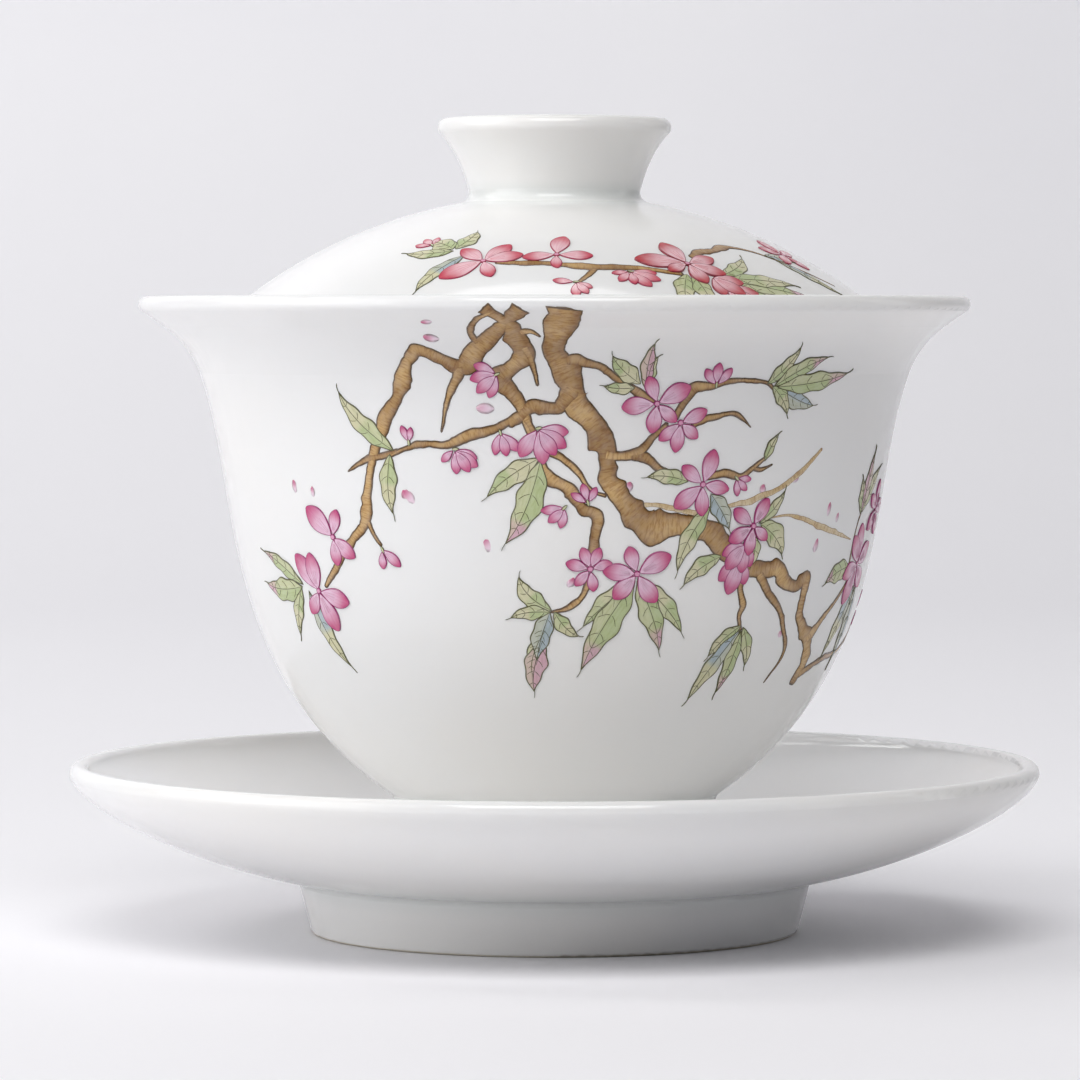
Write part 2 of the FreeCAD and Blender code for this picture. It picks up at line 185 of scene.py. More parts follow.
class Enamel:
    """One painted piece: shells on one wall, with a colour and a brush direction at each vertex."""

    def __init__(self, name, wall, body, material):
        self.name, self.wall, self.body, self.material = name, wall, body, material
        self.points, self.faces, self.top, self.colours, self.brush = [], [], [], [], []
        self.count = 0

    def shell(self, turn, s, left, right, lift, fill, line=0.0, line_colour=GLAZE, sides=4, crown=0.05, edge=EDGE,
              sunk=SUNK):
        """A closed shell along a spine. left and right are its half widths, and fill gives its colour from the share
        along and the share across, -1 to 1. line is the width of its outline, 0 for none, sides is how many columns
        of faces are on either side of the spine inside it, crown is how much higher its middle is than its sides,
        and edge is the width in which it rises from the height sunk."""
        left, right = np.asarray(left, float), np.asarray(right, float)
        r = self.wall.radius(s)
        ahead = np.stack((np.gradient(turn) * r, np.gradient(s)), -1)
        ahead /= np.maximum(np.hypot(ahead[:, 0], ahead[:, 1]), TINY)[:, None]
        length = self.wall.length(turn, s)
        to_end = np.minimum(length, length[-1] - length)

        def columns(half):
            """Shares of a half width from its edge to near the spine, and which of them are in the outline."""
            half = np.maximum(half, TINY)
            rim = [np.ones_like(half), np.clip(1 - edge / half, 0, 1)]
            if line > 0:
                rim.append(np.clip(1 - line / half, 0, 1))
                inner, parts = np.clip(1 - (line + edge) / half, 0, 1), sides
            else:
                inner, parts = rim[1], sides + 0.5
            shares = rim + [inner * (sides - k) / parts for k in range(sides)]
            return shares, [line > 0] * len(rim) + [False] * sides
        (left_shares, left_marks), (right_shares, right_marks) = columns(left), columns(right)
        share = np.stack([-v for v in left_shares] + [np.zeros_like(left)] + right_shares[::-1], 1)
        outline = np.array(left_marks + [False] + right_marks[::-1])
        offset = share * np.where(share < 0, left[:, None], right[:, None])
        rise = lift * (1 + crown * (1 - share ** 2))
        rise[:, [0, -1]] = sunk
        rise = sunk + (rise - sunk) * np.clip(to_end / edge, 0, 1)[:, None]
        place = self.wall.place(turn[:, None] + ahead[:, 1:] * offset / r[:, None], s[:, None] - ahead[:, :1] * offset,
                                rise)
        along = np.broadcast_to((length / length[-1])[:, None], share.shape)
        at_end = (to_end < line * 0.9) | (left + right < 2 * line)
        colour = np.where((outline | at_end[:, None])[..., None], line_colour, fill(along, share))
        rows, wide = share.shape
        base = self.count
        self.points.append(place.reshape(-1, 3))
        self.colours.append(colour.reshape(-1, 3))
        streaks = np.full_like(share, rng.uniform(0, 90))      # so that no two shells have the same streaks
        self.brush.append(np.stack((length[:, None] + 0 * share, offset, streaks), -1).reshape(-1, 3))
        self.count += rows * wide
        for row in range(base, self.count - wide, wide):
            self.faces.extend((row + j, row + j + 1, row + wide + j + 1, row + wide + j) for j in range(wide - 1))
            self.faces.append((row + wide, row + 2 * wide - 1, row + wide - 1, row))
            self.top.extend([True] * (wide - 1) + [False])
        self.faces.append(tuple(range(base, base + wide))[::-1])
        self.faces.append(tuple(range(self.count - wide, self.count)))
        self.top.extend([False, False])

    def finish(self):
        """Make the piece from its shells. Only their tops are smooth, so their flat undersides tilt no edge."""
        mesh = bpy.data.meshes.new(self.name)
        mesh.from_pydata(np.concatenate(self.points).tolist(), [], self.faces)
        mesh.polygons.foreach_set("use_smooth", self.top)
        colours = mesh.attributes.new("paint", "FLOAT_COLOR", "POINT")
        rgba = np.concatenate((np.concatenate(self.colours), np.ones((self.count, 1))), 1)
        colours.data.foreach_set("color", rgba.astype(np.float32).ravel())
        brush = mesh.attributes.new("brush", "FLOAT_VECTOR", "POINT")
        brush.data.foreach_set("vector", np.concatenate(self.brush).astype(np.float32).ravel())
        work = bmesh.new()
        work.from_mesh(mesh)
        bmesh.ops.remove_doubles(work, verts=work.verts, dist=MERGE)
        bmesh.ops.dissolve_degenerate(work, edges=work.edges, dist=MERGE)
        bmesh.ops.triangulate(work, faces=[f for f in work.faces if len(f.verts) > 4])
        bmesh.ops.recalc_face_normals(work, faces=work.faces)
        work.to_mesh(mesh)
        work.free()
        piece = bpy.data.objects.new(self.name, mesh)
        mesh.materials.append(self.material)
        bpy.context.scene.collection.objects.link(piece)
        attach(piece, self.body)


# ---------------------------------------------------------------- lines and curves

def curve(points, per_mm, scale):
    """Points on a smooth line through the given ones. scale turns each column into millimetres, to space them."""
    p = np.array(points, float)
    p = np.vstack((2 * p[0] - p[1], p, 2 * p[-1] - p[-2]))
    rows = []
    for i in range(1, len(p) - 2):
        gap = (p[i + 1] - p[i])[: len(scale)] * scale
        n = max(3, int(np.hypot(*gap[:2]) * per_mm))
        t = np.arange(n)[:, None] / n
        a, b, c, d = p[i - 1], p[i], p[i + 1], p[i + 2]
        rows.append(0.5 * (2 * b + (c - a) * t + (2 * a - 5 * b + 4 * c - d) * t ** 2
                           + (3 * b - a - 3 * c + d) * t ** 3))
    rows.append(p[-2:-1])
    return np.vstack(rows)


def ends(length, line):
    """Shares of a shape's length, close together at its two ends so that its outline turns the corner."""
    turn = max(line * 0.9, 0.1)
    near = [0, 0.02, 0.06, turn, turn + 0.03]
    middle = np.linspace(near[-1], length - near[-1], max(6, int(length * 7)))[1:-1]
    return np.array(near + list(middle) + [length - v for v in reversed(near)]) / length


def wobble(n, step, reach):
    """A smooth random line of n values between -reach and reach, that turns about every step values."""
    knots = [rng.uniform(-reach, reach) for _ in range(max(2, int(n / step) + 2))]
    return np.interp(np.linspace(0, len(knots) - 1, n), range(len(knots)), knots)


def plain(colour):
    """A fill of one colour."""
    return lambda a, c: mix(colour, colour, 0 * a)


def line_stroke(piece, points, width, lift, colour, taper=0.25):
    """A thin painted line through points in the wall's flat coordinates. Its ends are taper times as wide."""
    wall = piece.wall
    scale = (float(wall.radius(points[0][1])), 1.0)
    rows = curve(points, 4, scale)
    t = np.linspace(0, 1, len(rows))
    half = width / 2 * (taper + (1 - taper) * np.sin(np.pi * np.clip(t * 0.9 + 0.08, 0, 1)) ** 0.6)
    half[0] = half[-1] = 0.0
    piece.shell(rows[:, 0], rows[:, 1], half, half, lift, plain(colour), sides=1, crown=0.3)


# ---------------------------------------------------------------- motifs

def local(wall, at, places):
    """Flat coordinates of places given in mm to the right of and above a point of the wall."""
    turn, s = wall.unroll(*at)
    places = np.asarray(places, float)
    up = s + places[:, 1]
    return np.stack((turn + places[:, 0] / wall.radius(up), up), -1)


def polar(angle, distance):
    """A step in mm to the right and up, for an angle up from the right in degrees."""
    return distance * math.cos(math.radians(angle)), distance * math.sin(math.radians(angle))


def tongue(piece, at, foot, angle, length, half, lift, fill, line=0.0, line_colour=GLAZE, bend=0.0, shape=1.3,
           blunt=0.6, lopsided=0.0, wave=0.0, lobes=3.0, curl=0.0, **rest):
    """A petal or a leaf, from its foot, in mm from the place at. angle is up from the right in degrees, bend is how
    far it turns on its way, and curl how far its tip turns. shape moves its widest point towards the tip above 1,
    blunt below 1 fills its ends out, and wave and lobes give it a wavy edge. rest is for the shell."""
    t = ends(length, line)
    way = np.radians(angle + bend * (t - 0.3) + curl * t ** 4)
    step = np.diff(t, prepend=0) * length
    spine = np.array(foot, float) + np.cumsum(np.stack((np.cos(way) * step, np.sin(way) * step), -1), 0)
    width = half * np.sin(np.pi * np.clip(t, 0, 1) ** shape) ** blunt
    width[0] = width[-1] = 0.0
    left, right = (1 + wave * np.sin(2 * math.pi * lobes * t + rng.uniform(0, 6)) for _ in range(2))
    flat = local(piece.wall, at, spine)
    piece.shell(flat[:, 0], flat[:, 1], width * left * (1 + lopsided), width * right * (1 - lopsided), lift, fill,
                line, line_colour, **rest)
    return spine


def blossom(piece, at, petals, tone, lift, centre, fat):
    """An open flower. petals are (angle, length) pairs, and the later ones lie over the earlier. fat is a petal's half
    width against its length."""
    pale, deep, line = FLOWER_TONES[tone]
    for k, (angle, length) in enumerate(petals):
        start = rng.uniform(0.28, 0.4)

        def fill(a, c, start=start):
            return mix(mix(pale, deep, smooth(start, 1.0, a + 0.1 * np.abs(c)) * 0.95), line, 0.2 * np.abs(c) ** 4)
        level = lift + PETAL_STEP * k
        tongue(piece, at, polar(angle, 0.25), angle, length, length * fat * rng.uniform(0.94, 1.06), level, fill,
               0.12, line, bend=rng.uniform(-9, 9), shape=rng.uniform(1.15, 1.35), blunt=0.66,
               lopsided=rng.uniform(-0.08, 0.08))
        for turn in (-9, 0, 9):
            hair = [polar(angle + turn, far) for far in (0.6, length * 0.4, length * 0.62)]
            line_stroke(piece, local(piece.wall, at, hair), 0.06, level + PETAL_STEP, mix(pale, deep, 0.6))
    if centre:
        tongue(piece, at, (-0.38, 0), 0, 0.76, 0.38, lift + PETAL_STEP * len(petals) + 0.012,
               plain(mix(CENTRE, pale, 0.3)), 0.13, line, shape=1.0, blunt=0.5)


def cup(piece, at, petals, tone):
    """A flower or bud seen from the side: petals fanned from one point, which a green cup holds."""
    blossom(piece, at, petals, tone, PETAL_LIFT, False, 0.25)
    mean = sum(angle for angle, _ in petals) / len(petals)
    tongue(piece, at, polar(mean, -0.35), mean, 0.9, 0.2, PETAL_LIFT + PETAL_STEP * len(petals) + 0.01,
           lambda a, c: mix(LEAF, LEAF_PALE, a), 0.07, LEAF_LINE, shape=1.0)


def leaf(piece, foot, tip, half, tone, bend, lift, veins):
    """A leaf between two places on the wall: a wavy dark outline, a midrib, side veins and a drawn-out tip."""
    wall = piece.wall
    (turn0, s0), (turn1, s1) = wall.unroll(*foot), wall.unroll(*tip)
    run = (turn1 - turn0) * float(wall.radius((s0 + s1) / 2))
    length, angle = math.hypot(run, s1 - s0), math.degrees(math.atan2(s1 - s0, run))
    near, far = LEAF_TONES[tone]
    fold = rng.choice((-1, 1))
    start = 0.66 if tone == "tipped" else 0.45      # share of the length where the colour of the tip begins
    half *= 1.16

    def fill(a, c):
        body = mix(near, far, smooth(start, start + 0.1, a))
        light = smooth(-0.1, 0.25, c * fold) * 0.5
        return mix(mix(body, LEAF_PALE, light), LEAF_LINE, 0.14 * np.abs(c) ** 6)
    shape, blunt = 0.84, 1.05
    spine = tongue(piece, foot, (0, 0), angle - bend * 0.25, length, half, lift, fill, 0.15, LEAF_LINE, bend=bend,
                   shape=shape, blunt=blunt, wave=0.1, lobes=min(3.4, 1.6 + length / 6),
                   lopsided=rng.uniform(-0.12, 0.12), curl=bend * 0.9)
    n = len(spine)

    def vein(places, width=0.12, taper=0.5):
        line_stroke(piece, local(wall, foot, places), width, lift + 0.012, LEAF_LINE, taper)

    def sideways(way):
        """The unit step across a way, to its left, and the one along it."""
        way = way / max(np.hypot(*way), TINY)
        return np.array([-way[1], way[0]]), way
    rib = spine[[0, n // 4, n // 2, 3 * n // 4, n - 1]]
    _, ahead = sideways(rib[-1] - spine[-5])
    _, turned = sideways(ahead + 0.3 * math.copysign(1, bend) * np.array([-abs(ahead[1]), abs(ahead[0])]))
    vein(np.vstack((rib, rib[-1] + turned * min(0.9, length * 0.12))), 0.14, 0.45)
    for k in range(veins):
        i = int(n * (0.2 + 0.56 * k / max(veins - 1, 1)))
        out, ahead = sideways(spine[min(i + 1, n - 1)] - spine[i - 1])
        reach = half * 0.8
        for _ in range(3):      # closes in on a vein that ends inside the outline
            width = math.sin(math.pi * min(i / n + 0.9 * reach / length, 0.98) ** shape) ** blunt
            reach = half * 0.84 * width
        for side in (-1, 1):
            vein([spine[i], spine[i] + (0.5 * side * out + 0.3 * ahead) * reach,
                  spine[i] + (side * out + 0.9 * ahead) * reach])
    if tone == "tipped":        # a line where the colour changes
        i, j = int(n * 0.6), int(n * 0.72)
        out, _ = sideways(spine[j] - spine[i])
        vein([spine[i] + out * half * 0.72, spine[j], spine[i] - out * half * 0.72])


def branch(piece, path, order, ragged=0.14, line=0.17, gold=False, cut=False):
    """A limb through (around, level, half width) places: a dark shell, and over it a narrower one in bark colour.
    All the bark lies higher than all the dark, so limbs run into each other where they join. ragged is how uneven
    its sides are, line is the width of its outline, and cut limbs start square."""
    wall = piece.wall
    rows = [(*wall.unroll(around, level), half) for around, level, half in path]
    rows = curve(rows, 5, (float(wall.radius(rows[0][1])), 1.0))
    turn, s, half = rows[:, 0], rows[:, 1], np.maximum(rows[:, 2], 0.05)
    length = wall.length(turn, s)
    n, long = len(half), length[-1]

    def rough():
        """One ragged side: slow swelling, fine bark, and now and then a knot."""
        side = half * (1 + wobble(n, 7, ragged)) + np.minimum(half, 0.6) * wobble(n, 2.2, 0.1)
        for _ in range(int(long / 5 * rng.uniform(0.5, 1.4))):
            at, size = rng.uniform(0.1, 0.9) * long, rng.uniform(0.15, 0.4)
            side = side + half * size * np.exp(-((length - at) / rng.uniform(0.45, 0.9)) ** 2)
        return side
    left, right = rough(), rough()
    if gold:
        line_colour, body, dark = mix(BARK_DARK, GOLD, 0.35), GOLD, GOLD_PALE
        low, top = GOLD_LIFT
    else:
        line_colour, body, dark = BARK_LINE, BARK, BARK_DARK
        low, top = (lift + step * order for lift, step in zip(LIMB_LIFT, LIMB_STEP))

    def closed(width):
        """Half widths that round off to nothing at both ends, or at the far end of a cut limb."""
        near = long - length if cut else np.minimum(length, long - length)
        shut = width * np.sqrt(np.clip(1 - (1 - np.clip(near / np.maximum(width, 0.1), 0, 1)) ** 2, 0, 1))
        shut[0] = shut[-1] = 0
        return shut
    piece.shell(turn, s, closed(left), closed(right), low, plain(line_colour), sides=2, crown=0.03)
    shade = rng.choice((-1, 1))
    tones = [rng.uniform(0, 0.9) for _ in range(max(3, int(long / 2.2)))]

    def fill(a, c):
        edge = smooth(0.1, 1.0, c * shade) * 0.55 + smooth(0.6, 1.0, np.abs(c)) * 0.35
        knots = np.interp(a, np.linspace(0, 1, len(tones)), tones)
        return mix(body, dark, np.clip(edge + knots, 0, 1))
    inner_left, inner_right = (np.maximum(closed(v) - line, 0.02)[1:-1] for v in (left, right))
    for side in (inner_left, inner_right):
        side[[0, -1]] = 0
    piece.shell(turn[1:-1], s[1:-1], inner_left, inner_right, top, fill, sides=3, crown=0.1)


def fallen(piece, at, angle, length, half, strength=0.9):
    """A loose petal in a soft wash, deep at its tip and fading away behind."""
    def fill(a, c):
        tint = mix(mix(GLAZE, PETAL_PALE, 0.8), PETAL, smooth(0.2, 0.9, a) * strength)
        return mix(tint, GLAZE, smooth(0.5, 1.0, np.abs(c)) * 0.35 + smooth(0.6, 0.0, a) * 0.1)
    tongue(piece, at, (0, 0), angle, length, half, FALLEN_LIFT, fill, shape=1.0, blunt=0.5, edge=half * 0.7,
           sunk=FALLEN_SUNK)


# ---------------------------------------------------------------- materials

PORCELAIN_IOR = 1.5


class Look:
    """A material with a Principled shader, and short ways to make its nodes. Each gives the output to use next."""

    def __init__(self, name):
        self.material = bpy.data.materials.new(name)
        self.material.use_nodes = True
        self.tree = self.material.node_tree
        self.tree.nodes.clear()
        self.shader = self.node("BsdfPrincipled")
        self.join(self.shader.outputs["BSDF"], self.node("OutputMaterial").inputs["Surface"])

    def node(self, kind, **values):
        """Any node. values are its properties, or what its sockets are set to."""
        made = self.tree.nodes.new("ShaderNode" + kind)
        for key, value in values.items():
            if hasattr(made, key):
                setattr(made, key, value)
            else:
                made.inputs[key].default_value = value
        return made

    def join(self, value, socket):
        """Link an output to a socket, or set the socket to a number or a colour."""
        if isinstance(value, bpy.types.NodeSocket):
            self.tree.links.new(value, socket)
        else:
            socket.default_value = (*value, 1.0) if isinstance(value, np.ndarray) else value

    def set(self, **values):
        """Sockets of the shader, with _ for a space in their names."""
        for key, value in values.items():
            self.join(value, self.shader.inputs[key.replace("_", " ")])

    def calc(self, operation, *values, clamp=False):
        made = self.node("Math", operation=operation, use_clamp=clamp)
        for socket, value in zip(made.inputs, values):
            self.join(value, socket)
        return made.outputs[0]

    def blend(self, share, a, b, kind="MIX"):
        """A mix of two colours."""
        made = self.node("Mix", data_type="RGBA", blend_type=kind)
        for index, value in ((0, share), (6, a), (7, b)):      # the colour sockets of a Mix node
            self.join(value, made.inputs[index])
        return made.outputs[2]

    def span(self, value, low, high, to_low, to_high):
        """The range from low to high, turned into the one from to_low to to_high with a soft start and end."""
        made = self.node("MapRange", interpolation_type="SMOOTHSTEP")
        for socket, limit in zip(made.inputs, (value, low, high, to_low, to_high)):
            self.join(limit, socket)
        return made.outputs[0]

    def noise(self, where, scale, detail=2.0, rough=0.5, **values):
        made = self.node("TexNoise", Scale=scale, Detail=detail, Roughness=rough, **values)
        self.join(where, made.inputs["Vector"])
        return made.outputs["Fac"]

    def places(self):
        """The places on the object, and their heights."""
        where = self.node("TexCoord").outputs["Object"]
        split = self.node("SeparateXYZ")
        self.join(where, split.inputs[0])
        return where, split.outputs["Z"]

    def bump(self, height, strength, distance):
        made = self.node("Bump", Strength=strength, Distance=distance)
        self.join(height, made.inputs["Height"])
        return made.outputs[0]


def glaze_material(name, foot, pool, seed):
    """Clear white porcelain glaze: faint clouds, a soft ripple, fine wear, and a bare foot rim. foot is the height
    under which the clay is bare, and pool is (height, reach) where the glaze lies thick in a hollow, in mm."""
    look = Look(name)
    calc, blend, span = look.calc, look.blend, look.span
    where, height = look.places()
    cloud, ripple, peel, wear = (
        look.noise(where, scale, detail, rough, noise_dimensions="4D", W=seed)
        for scale, detail, rough in ((22, 2, 0.5), (75, 1, 0.5), (650, 1, 0.5), (1900, 3, 0.7)))
    tint = blend(span(cloud, 0.35, 0.65, 0, 1), rgb(238, 238, 238), rgb(241, 240, 238))
    away = calc("ABSOLUTE", calc("SUBTRACT", height, pool[0] * MM))
    pooled = calc("MULTIPLY", span(away, 0, pool[1] * MM, 1, 0), calc("ADD", calc("MULTIPLY", cloud, 0.4), 0.25))
    tint = blend(pooled, tint, rgb(222, 227, 225))
    tint = blend(calc("MULTIPLY", span(wear, 0.76, 0.8, 0, 1), 0.12), tint, rgb(188, 182, 170))
    bare = span(calc("ADD", height, calc("MULTIPLY", ripple, 0.3 * MM)), foot * MM, (foot + 0.15) * MM, 1, 0)
    clay = blend(wear, rgb(232, 226, 214), rgb(214, 206, 192))
    gloss = calc("ADD", span(cloud, 0.3, 0.7, 0.07, 0.13), calc("MULTIPLY", span(wear, 0.55, 0.8, 0, 1), 0.05))
    grain = calc("ADD", calc("MULTIPLY", peel, 0.02), calc("MULTIPLY", calc("MULTIPLY", bare, wear), 0.3))
    look.set(
        Base_Color=blend(bare, tint, clay), Roughness=calc("ADD", gloss, calc("MULTIPLY", bare, 0.5), clamp=True),
        Normal=look.bump(calc("ADD", calc("MULTIPLY", ripple, 0.8), grain), 0.16, 0.2 * MM), IOR=PORCELAIN_IOR,
        Subsurface_Weight=0.2, Subsurface_Radius=(1.0, 0.95, 0.9), Subsurface_Scale=1.2 * MM)
    return look.material


def enamel_material(name, streak, depth, dark, gloss):
    """Overglaze enamel: the painted colour with brush streaks along or across the stroke, thin and thick patches,
    and a gloss that varies with them. streak is how fine the streaks are along and across the stroke, per mm."""
    look = Look(name)
    calc, blend, span = look.calc, look.blend, look.span
    paint, brush = (look.node("Attribute", attribute_name=kind) for kind in ("paint", "brush"))
    stretch = look.node("VectorMath", operation="MULTIPLY")
    look.join(brush.outputs["Vector"], stretch.inputs[0])
    stretch.inputs[1].default_value = (*streak, 1.0)
    stroke = look.noise(stretch.outputs[0], 1.0, 3.0, 0.6)
    patch = look.noise(look.places()[0], 900)
    colour = blend(calc("MULTIPLY", span(stroke, 0.42, 0.68, 0, 1), depth), paint.outputs["Color"], dark, "MULTIPLY")
    colour = blend(calc("MULTIPLY", span(patch, 0.35, 0.7, 0, 1), 0.07), colour, GLAZE)
    look.set(Base_Color=colour, Roughness=span(stroke, 0.3, 0.7, gloss, gloss + 0.12),
             Normal=look.bump(calc("ADD", stroke, patch), 0.2, 0.03 * MM), IOR=PORCELAIN_IOR)
    return look.material


petal_paint = enamel_material("petal_enamel", (0.5, 5.0), 0.35, rgb(232, 170, 205), 0.1)
leaf_paint = enamel_material("leaf_enamel", (0.8, 4.0), 0.3, rgb(196, 200, 160), 0.12)
bark_paint = enamel_material("bark_enamel", (4.2, 0.9), 0.6, rgb(188, 150, 104), 0.14)
wash_paint = enamel_material("wash_enamel", (0.6, 0.6), 0.05, rgb(240, 225, 235), 0.09)


def dress(node_name, material):
    """Give every slot of a CAD node this material."""
    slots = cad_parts[node_name].data.materials
    if not slots:
        slots.append(material)
    for i in range(len(slots)):
        slots[i] = material


(saucer_low, _), (bowl_low, bowl_high), (_, lid_high) = (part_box(name) for name in ("saucer", "bowl", "lid"))
saucer_foot, bowl_foot, knob_top = saucer_low.z / MM, bowl_low.z / MM, lid_high.z / MM
NO_FOOT = -50.0             # below everything, for the lid, which is glazed all over
dress("saucer", glaze_material("saucer_porcelain", saucer_foot + 0.35, (saucer_foot + 6.5, 2.6), 1.0))
dress("bowl", glaze_material("bowl_porcelain", bowl_foot + 0.3, (bowl_foot + 7.6, 2.4), 4.0))
dress("lid", glaze_material("lid_porcelain", NO_FOOT, (knob_top - 9.4, 2.2), 7.0))

bowl_wall = outside_wall(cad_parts["bowl"], bowl_low.z + 8.5 * MM, bowl_high.z - 0.9 * MM)
lid_wall = top_wall(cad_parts["lid"], lid_high.x - 1.0 * MM, 11.5 * MM)


class Painter:
    """Paints one body from tables of places, and numbers its pieces by their kind."""

    def __init__(self, body, wall):
        self.body, self.wall, self.counts = body, wall, {}

    @contextlib.contextmanager
    def piece(self, kind, material):
        self.counts[kind] = self.counts.get(kind, 0) + 1
        made = Enamel(f"{self.body}_{kind}_{self.counts[kind]:02d}", self.wall, self.body, material)
        yield made
        made.finish()

    def limbs(self, kind, paths, cut=0, **looks):
        """paths are lists of (around, level, half width). So many of the first as cut says start square."""
        for k, path in enumerate(paths):
            with self.piece(kind, bark_paint) as limb:
                branch(limb, path, k, cut=k < cut, **looks)

    def leaves(self, sprays):
        """sprays are lists of (foot, tip, half width, tone, bend)."""
        for spray in sprays:
            with self.piece("leaves", leaf_paint) as leaves:
                for k, (foot, tip, half, tone, bend) in enumerate(spray):
                    veins = 3 if half < 0.8 else 4
                    leaf(leaves, foot, tip, half, tone, bend, LEAF_LIFT + LEAF_STEP * k, veins)

    def blossoms(self, rows, fat):
        """rows are (place, petals as (angle, length), layer, whether its centre shows, tone)."""
        for place, petals, layer, centre, tone in rows:
            with self.piece("blossom", petal_paint) as flower:
                blossom(flower, place, petals, tone, PETAL_LIFT + FLOWER_STEP * layer, centre, fat)

    def side_flowers(self, rows, tone):
        """rows are (place, petals)."""
        for place, petals in rows:
            with self.piece("side_flower", petal_paint) as flower:
                cup(flower, place, petals, tone)

    def fallen_petals(self, rows):
        """rows are (place, angle, length, half width), and for a faint one its strength."""
        for row in rows:
            with self.piece("fallen_petal", wash_paint) as petal:
                fallen(petal, *row)


# ---------------------------------------------------------------- the painting on the bowl

bowl = Painter("bowl", bowl_wall)
CUT_LIMBS = [
    # these start at the line under the lip where the painting ends
    [(1.3, 75.3, 2.2), (0.8, 73.6, 1.9), (-0.2, 70.8, 1.35), (0.8, 69.0, 1.5), (2.4, 66.6, 1.5), (2.8, 64.8, 1.6),
     (5.6, 62.6, 1.35), (8.2, 59.6, 1.2), (8.4, 57.2, 1.0), (9.2, 55.0, 1.05), (11.8, 52.8, 1.3), (15.6, 50.6, 1.55),
     (20, 50.4, 1.35), (24, 50.4, 1.2), (27, 49.6, 1.3), (31, 47.4, 1.3), (36, 45.4, 1.1)],
    [(-9.6, 75.3, 0.9), (-8.0, 74.4, 0.8), (-6.6, 73.4, 0.9), (-5.4, 71.8, 1.1), (-4.9, 70.0, 1.2), (-6.8, 68.4, 1.0),
     (-8.6, 67.2, 1.3), (-6.9, 65.8, 0.9), (-5.2, 64.0, 0.75), (-4.4, 61.9, 0.6), (-3.2, 60.2, 0.5)],
    [(-4.4, 75.3, 1.3), (-5.6, 74.4, 0.9), (-7.0, 73.4, 0.8), (-8.4, 72.4, 0.8)],
]
